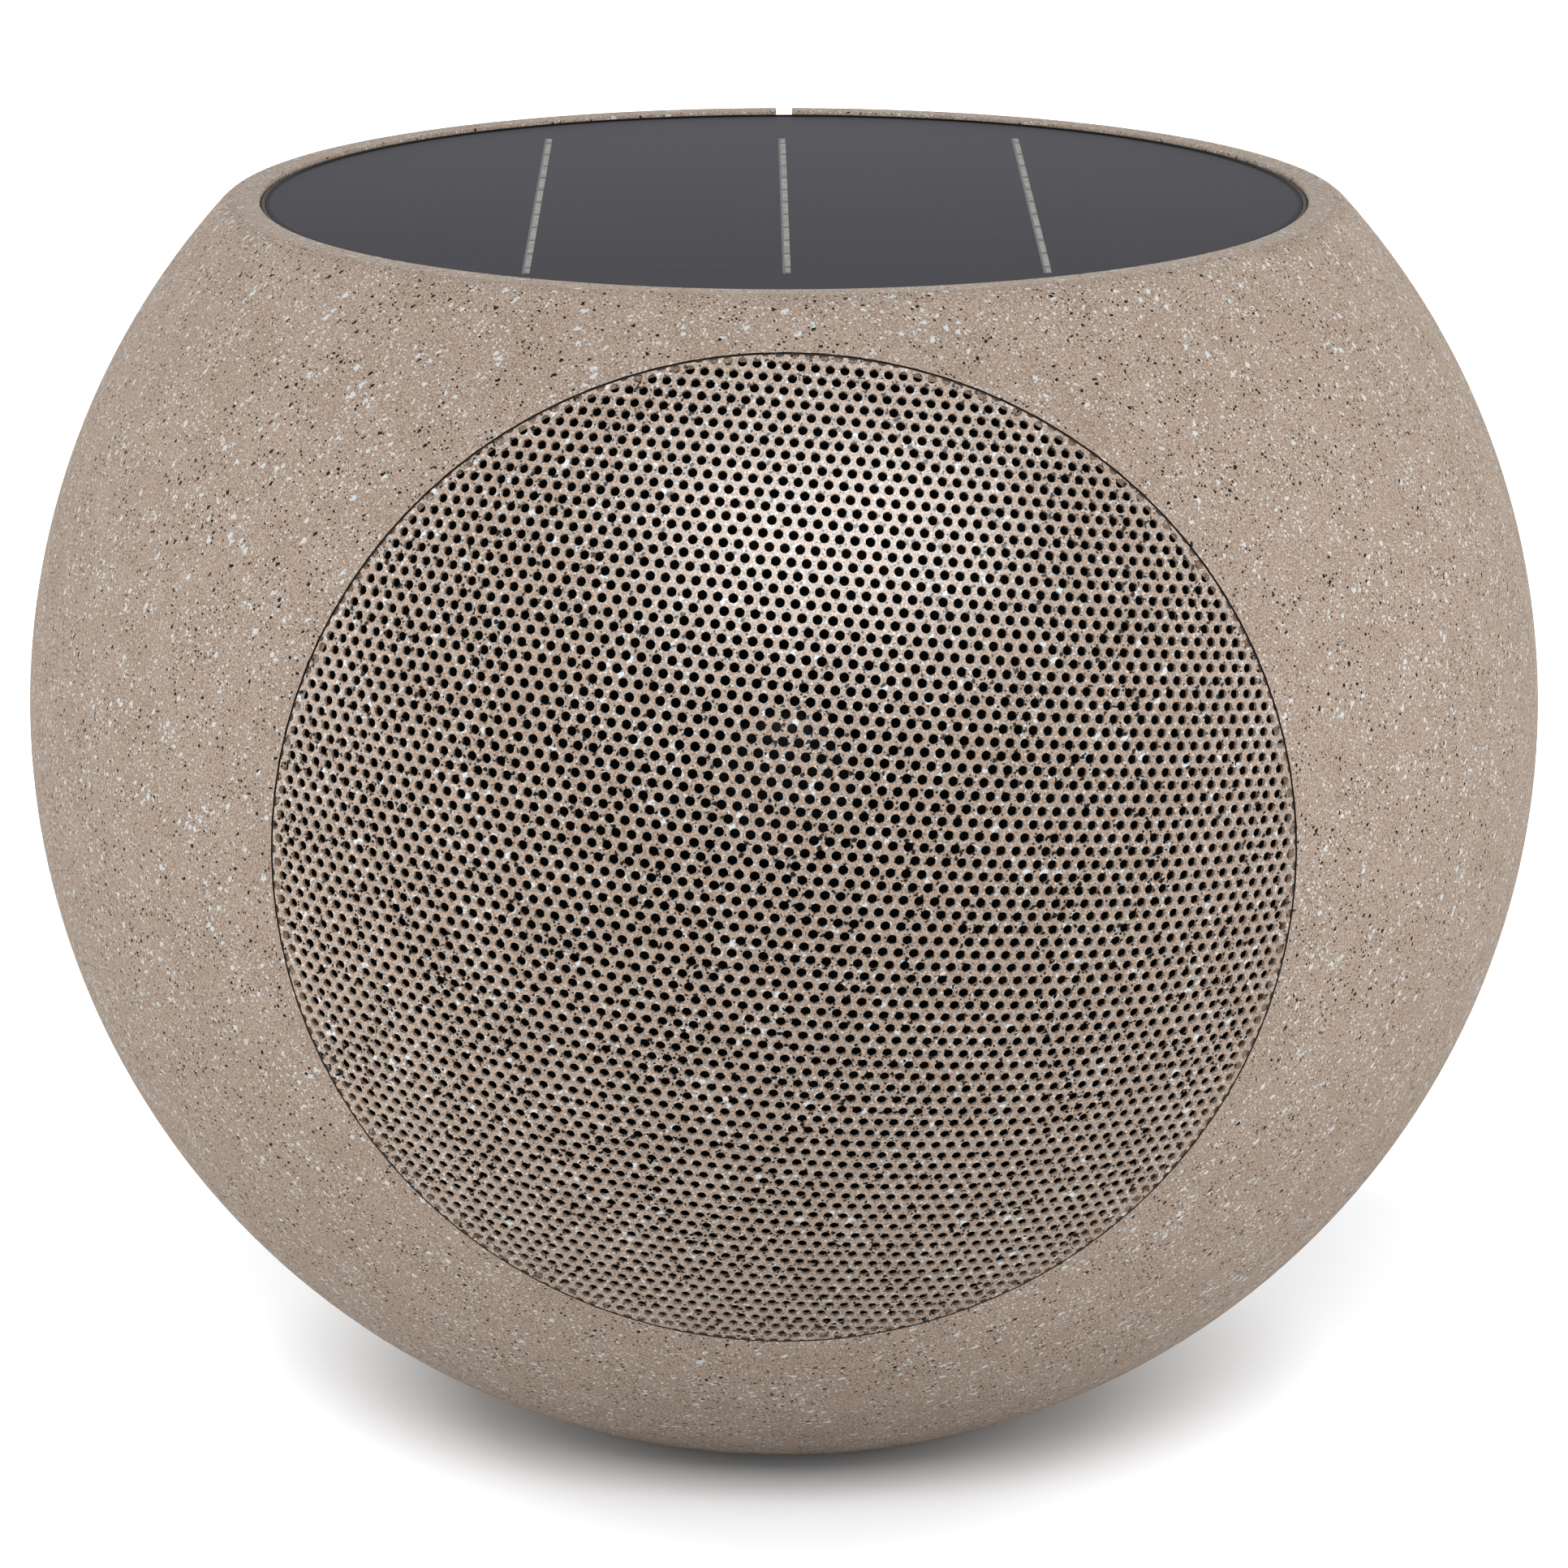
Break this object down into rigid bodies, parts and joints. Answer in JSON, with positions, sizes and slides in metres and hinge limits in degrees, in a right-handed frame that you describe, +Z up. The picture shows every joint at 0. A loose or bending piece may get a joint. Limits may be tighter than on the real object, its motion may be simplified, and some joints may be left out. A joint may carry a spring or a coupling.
{
  "type": "garden speaker",
  "caption": "Ball-shaped outdoor speaker with a flat solar panel on top, a perforated steel dome over one driver at the front, and a control recess at the back.",
  "frame": {"origin": "on the ground, under the middle of the ball", "axes": "+Z up through the solar panel, -Y out of the grille at the front, +X to the right as seen from the front"},
  "size_m": [0.266, 0.2651, 0.2186],
  "materials": {
    "stone_plastic": "moulded, mottled like stone",
    "painted_grille": "perforated steel, mottled paint",
    "foot_rubber": "soft black rubber",
    "seal_rubber": "foam rubber",
    "solar_laminate": "dark resin laminate, satin",
    "strip_metal": "tinned ribbon",
    "black_plastic": "moulded black plastic",
    "frame_paint": "black paint on pressed steel",
    "surround_rubber": "butyl rubber",
    "coil_wire": "enamelled copper",
    "cone_paper": "black coated paper",
    "cap_plastic": "pale grey",
    "spider_cloth": "resin-stiffened cloth",
    "motor_steel": "zinc plated",
    "ferrite": "sintered ferrite",
    "screw_steel": "blackened steel",
    "control_plastic": "fine texture",
    "button_rubber": "silicone",
    "cover_rubber": "soft rubber",
    "socket_steel": "nickel plated",
    "light_lens": "clear tinted",
    "board_laminate": "green solder mask",
    "switch_plastic": "moulded",
    "sink_metal": "extruded",
    "capacitor_sleeve": "shrink sleeve",
    "socket_plastic": "natural nylon",
    "cell_sleeve": "shrink sleeve",
    "lead_jacket": "flexible jacket"
  },
  "bodies": {
    "housing": {"body_shell": "stone_plastic", "grille": "painted_grille", "rubber_foot": "foot_rubber", "panel_seal": "seal_rubber", "baffle_seal": "seal_rubber", "driver_seal": "seal_rubber", "solar_panel": "solar_laminate", "panel_strips": "strip_metal", "panel_terminal_box": "black_plastic", "front_baffle": "black_plastic", "battery_tray": "black_plastic", "battery_strap": "black_plastic", "terminal_strip": "black_plastic", "driver_frame": "frame_paint", "surround": "surround_rubber", "spider": "spider_cloth", "front_plate": "motor_steel", "yoke": "motor_steel", "magnet": "ferrite", "baffle_screws": "screw_steel", "driver_screws": "screw_steel", "control_screws": "screw_steel", "board_screws": "screw_steel", "tray_screws": "screw_steel", "strap_screws": "screw_steel", "control_panel": "control_plastic", "charge_socket": "socket_steel", "radio_module": "socket_steel", "status_light": "light_lens", "main_board": "board_laminate", "switches": "switch_plastic", "heat_sink": "sink_metal", "capacitors": "capacitor_sleeve", "lead_sockets": "socket_plastic", "battery_cells": "cell_sleeve", "battery_lead": "lead_jacket", "speaker_lead": "lead_jacket", "panel_lead": "lead_jacket"},
    "cone_assembly": {"cone": "cone_paper", "dust_cap": "cap_plastic", "voice_coil": "coil_wire"},
    "link_button": {"link_button": "button_rubber"},
    "volume_up_button": {"volume_up_button": "button_rubber"},
    "volume_down_button": {"volume_down_button": "button_rubber"},
    "power_button": {"power_button": "button_rubber"},
    "port_cover": {"port_cover": "cover_rubber"}
  },
  "joints": [
    {"name": "link_press", "type": "slide", "parent": "housing", "child": "link_button", "axis": [0, -1, 0], "range_m": [0, 0.0008], "stiffness_N_per_m": 800},
    {"name": "volume_up_press", "type": "slide", "parent": "housing", "child": "volume_up_button", "axis": [0, -1, 0], "range_m": [0, 0.0008], "stiffness_N_per_m": 800},
    {"name": "volume_down_press", "type": "slide", "parent": "housing", "child": "volume_down_button", "axis": [0, -1, 0], "range_m": [0, 0.0008], "stiffness_N_per_m": 800},
    {"name": "power_press", "type": "slide", "parent": "housing", "child": "power_button", "axis": [0, -1, 0], "range_m": [0, 0.0008], "stiffness_N_per_m": 800},
    {"name": "port_cover_hinge", "type": "hinge", "parent": "housing", "child": "port_cover", "pos_m": [-0.007, 0.126, 0.11564], "axis": [-1, 0, 0], "range_deg": [0, 100]},
    {"name": "cone_travel", "type": "slide", "parent": "housing", "child": "cone_assembly", "axis": [0, -1, 0], "range_m": [-0.0025, 0.0025], "stiffness_N_per_m": 2000, "deforming": ["surround", "spider"]}
  ]
}
